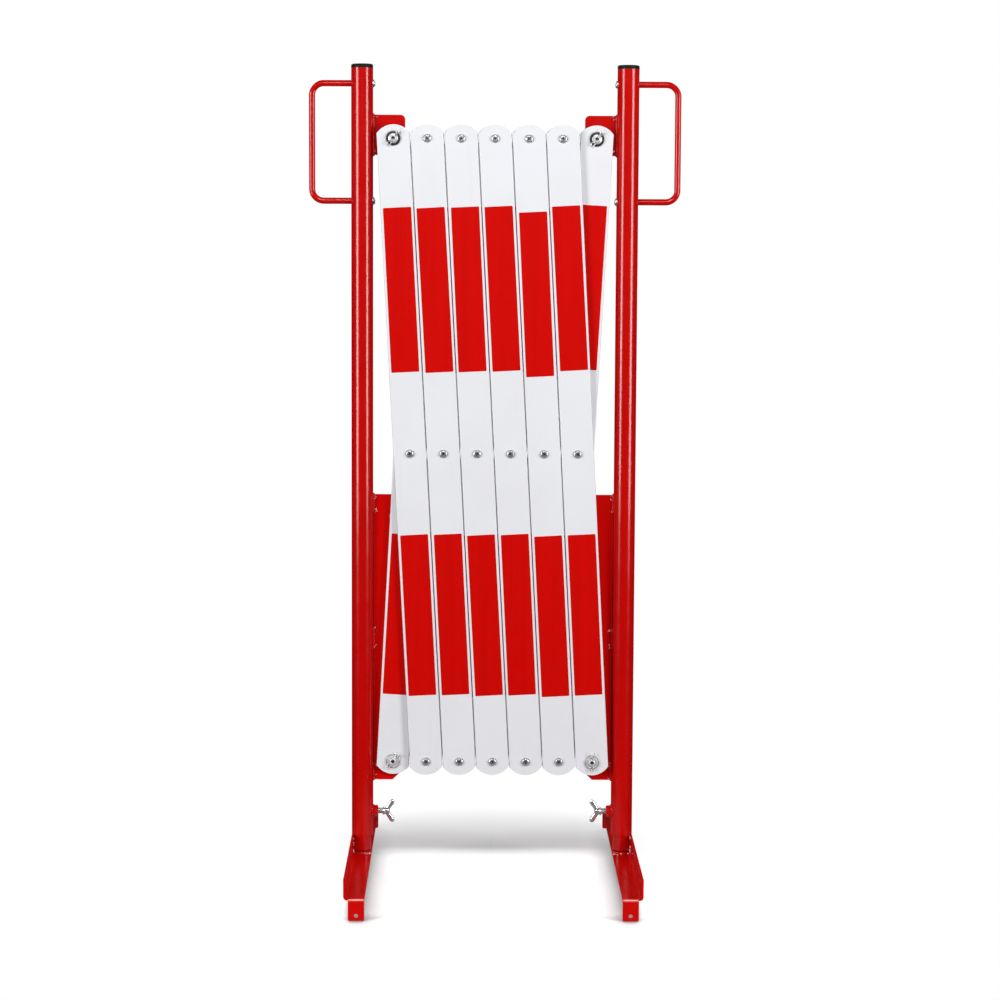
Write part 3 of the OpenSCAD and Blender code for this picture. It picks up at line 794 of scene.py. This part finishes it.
ROOM_LIGHT = 0.025
FLOOR_REACH = 40.0
FLOOR_GLOW = 0.01       # glow that only the camera sees in the floor, behind the lattice
FRONT_GLOW = 0.50       # the same in front of the lattice and outside the posts
FLOOR_BOUNCE = (0.34, 0.34, 0.35)       # the floor's colour to everything but the camera


def white_floor():
    """Floor seen as plain white where the halves above have moved apart."""
    s = Shader("white_floor")
    seen = s.add("ShaderNodeLightPath").outputs["Is Camera Ray"]
    s.colour(s.mix(seen, FLOOR_BOUNCE, (0.0, 0.0, 0.0)))
    s.surface.inputs["Specular IOR Level"].default_value = 0.0
    s.surface.inputs["Emission Color"].default_value = (1.0, 1.0, 1.0, 1.0)
    s.link(seen, s.surface.inputs["Emission Strength"])
    s.material.cycles.emission_sampling = "NONE"    # it lights nothing
    return s.material


def pale_floor():
    """Seen as bright as the white room far from the object, but returning less light to it."""
    s = Shader("pale_floor")
    seen = s.add("ShaderNodeLightPath").outputs["Is Camera Ray"]
    along = s.add("ShaderNodeSeparateXYZ")
    s.link(s.space, along.inputs[0])
    across = s.math("ABSOLUTE", along.outputs["X"], 0)

    # the shade under the feet and just inside them
    closed = s.add("ShaderNodeAmbientOcclusion", samples=12)
    closed.inputs["Distance"].default_value = 0.038
    near = s.remap(closed.outputs["AO"], 0.55, 0.97, 1.0, 0.0)
    beside = s.math("MULTIPLY", near, s.remap(across, 0.176, 0.186, 1.0, 0.0))

    s.colour(s.mix(seen, FLOOR_BOUNCE, s.mix(beside, (0.88, 0.88, 0.89), (0.26, 0.26, 0.265))))
    s.surface.inputs["Specular IOR Level"].default_value = 0.1
    s.roughness(s.remap(s.noise(30.0, 4.0), 0.3, 0.7, 0.6, 0.75))
    s.bump(s.noise(400.0, 3.0), 0.00005)

    # a glow that only the camera sees, almost none of it behind the lattice and none in that shade
    s.surface.inputs["Emission Color"].default_value = (1.0, 1.0, 1.0, 1.0)
    between = s.remap(across, 0.165, 0.195, 1.0, 0.0)
    behind = s.remap(along.outputs["Y"], 0.085, 0.138)
    glow_here = s.remap(s.math("MULTIPLY", between, behind), 0.0, 1.0, FRONT_GLOW, FLOOR_GLOW)
    lit = s.math("MULTIPLY", glow_here, s.math("SUBTRACT", 1.0, beside))
    s.link(s.math("MULTIPLY", seen, lit), s.surface.inputs["Emission Strength"])

    # further out the floor turns plain white
    distance = s.add("ShaderNodeVectorMath", operation="LENGTH")
    s.link(s.stretch((1.0, 1.0, 1.0), shift=(0, 0.08, 0)), distance.inputs[0])
    glow = s.add("ShaderNodeEmission")
    s.link(seen, glow.inputs["Strength"])
    blend = s.add("ShaderNodeMixShader")
    s.link(s.remap(distance.outputs["Value"], 0.21, 0.46), blend.inputs["Fac"])
    s.link(s.surface.outputs["BSDF"], blend.inputs[1])
    s.link(glow.outputs["Emission"], blend.inputs[2])
    s.link(blend.outputs["Shader"], s.tree.nodes["Material Output"].inputs["Surface"])
    s.material.cycles.emission_sampling = "NONE"
    return s.material


def floor_sheet(name, low, high, z, material):
    """One flat sheet of floor between two places along X."""
    mesh = bmesh.new()
    corners = ((low, -FLOOR_REACH), (high, -FLOOR_REACH), (high, FLOOR_REACH), (low, FLOOR_REACH))
    mesh.faces.new([mesh.verts.new((x, y, z)) for x, y in corners])
    data = bpy.data.meshes.new(name)
    mesh.to_mesh(data)
    mesh.free()
    data.materials.append(material)
    sheet = bpy.data.objects.new(name, data)
    bpy.context.scene.collection.objects.link(sheet)
    return sheet


def studio_floor():
    """Two halves of floor, each moving with its own foot, over a white one that shows where they part."""
    pale = pale_floor()
    left = floor_sheet("floor_left", -FLOOR_REACH, 0.0005, -0.0005, pale)       # laps over the right one
    right = floor_sheet("floor_right", 0.0, FLOOR_REACH, -0.0006, pale)
    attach(left, "left_foot_stem")
    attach(right, "right_foot_stem")
    floor_sheet("floor_below", -FLOOR_REACH, FLOOR_REACH, -0.062, white_floor())


def studio_world():
    """Dim room light, with white behind the object where the camera looks past it."""
    world = bpy.data.worlds.new("studio")
    bpy.context.scene.world = world
    world.use_nodes = True
    tree = world.node_tree
    room = tree.nodes["Background"]
    room.inputs["Color"].default_value = (0.95, 0.97, 1.0, 1.0)
    room.inputs["Strength"].default_value = ROOM_LIGHT
    white = tree.nodes.new("ShaderNodeBackground")
    white.inputs["Color"].default_value = (1.0, 1.0, 1.0, 1.0)
    choose = tree.nodes.new("ShaderNodeMixShader")
    rays = tree.nodes.new("ShaderNodeLightPath")
    tree.links.new(rays.outputs["Is Camera Ray"], choose.inputs["Fac"])
    tree.links.new(room.outputs["Background"], choose.inputs[1])
    tree.links.new(white.outputs["Background"], choose.inputs[2])
    tree.links.new(choose.outputs["Shader"], tree.nodes["World Output"].inputs["Surface"])


def softbox(name, azimuth, distance, centre_z, width, height, power):
    """Tall soft light facing the object, azimuth in degrees from the front towards +X.

    The one on the right moves out with the right post."""
    light = bpy.data.lights.new(name, "AREA")
    light.shape = "RECTANGLE"
    light.size, light.size_y = width, height
    light.energy = power
    light.color = (1.0, 0.995, 0.985)
    lamp = bpy.data.objects.new(name, light)
    bpy.context.scene.collection.objects.link(lamp)
    a = math.radians(azimuth)
    lamp.location = (distance * math.sin(a), -distance * math.cos(a), centre_z)
    lamp.rotation_euler = (math.radians(90), 0, a)
    if azimuth > 0:
        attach(lamp, "right_post")


def high_lamp(name, place, size, power, follow=False):
    """Square lamp aimed at the object's middle. One that follows moves out with the right post."""
    light = bpy.data.lights.new(name, "AREA")
    light.size = size
    light.energy = power
    lamp = bpy.data.objects.new(name, light)
    bpy.context.scene.collection.objects.link(lamp)
    lamp.location = place
    aim = Vector((0, 0, 0.5)) - Vector(place)
    lamp.rotation_euler = aim.to_track_quat("-Z", "Y").to_euler()
    if follow:
        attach(lamp, "right_post")


def camera():
    """Straight on and slightly from above, a long lens 3.4 m away."""
    data = bpy.data.cameras.new("camera")
    data.sensor_width = 36.0
    data.lens = 94.84
    made = bpy.data.objects.new("camera", data)
    bpy.context.scene.collection.objects.link(made)
    bpy.context.scene.camera = made
    made.location = (-0.031, -3.400, 0.849)
    pitch, yaw, roll = math.radians(6.00), math.radians(0.665), math.radians(0.28)
    aim = Matrix.Rotation(-yaw, 4, "Z") @ Matrix.Rotation(math.pi / 2 - pitch, 4, "X")
    made.rotation_euler = (aim @ Matrix.Rotation(roll, 4, "Z")).to_euler()


bpy.context.scene.view_settings.view_transform = "Standard"
studio_floor()
studio_world()
for side, azimuth in (("left", -54), ("right", 54)):
    softbox(f"softbox_{side}", azimuth, distance=2.3, centre_z=0.87,
            width=0.75, height=1.26, power=34.5)
for name, x, y, z, size, power in (("lamp_front", 0.0, -2.3, 2.05, 0.6, 14),
                                   ("lamp_back", 1.7, 1.9, 2.4, 1.1, 12),
                                   ("low_back", 1.3, 2.4, 1.9, 1.2, 9)):
    high_lamp(f"{name}_left", (-x, y, z), size, power)
    high_lamp(f"{name}_right", (x, y, z), size, power, follow=True)
camera()
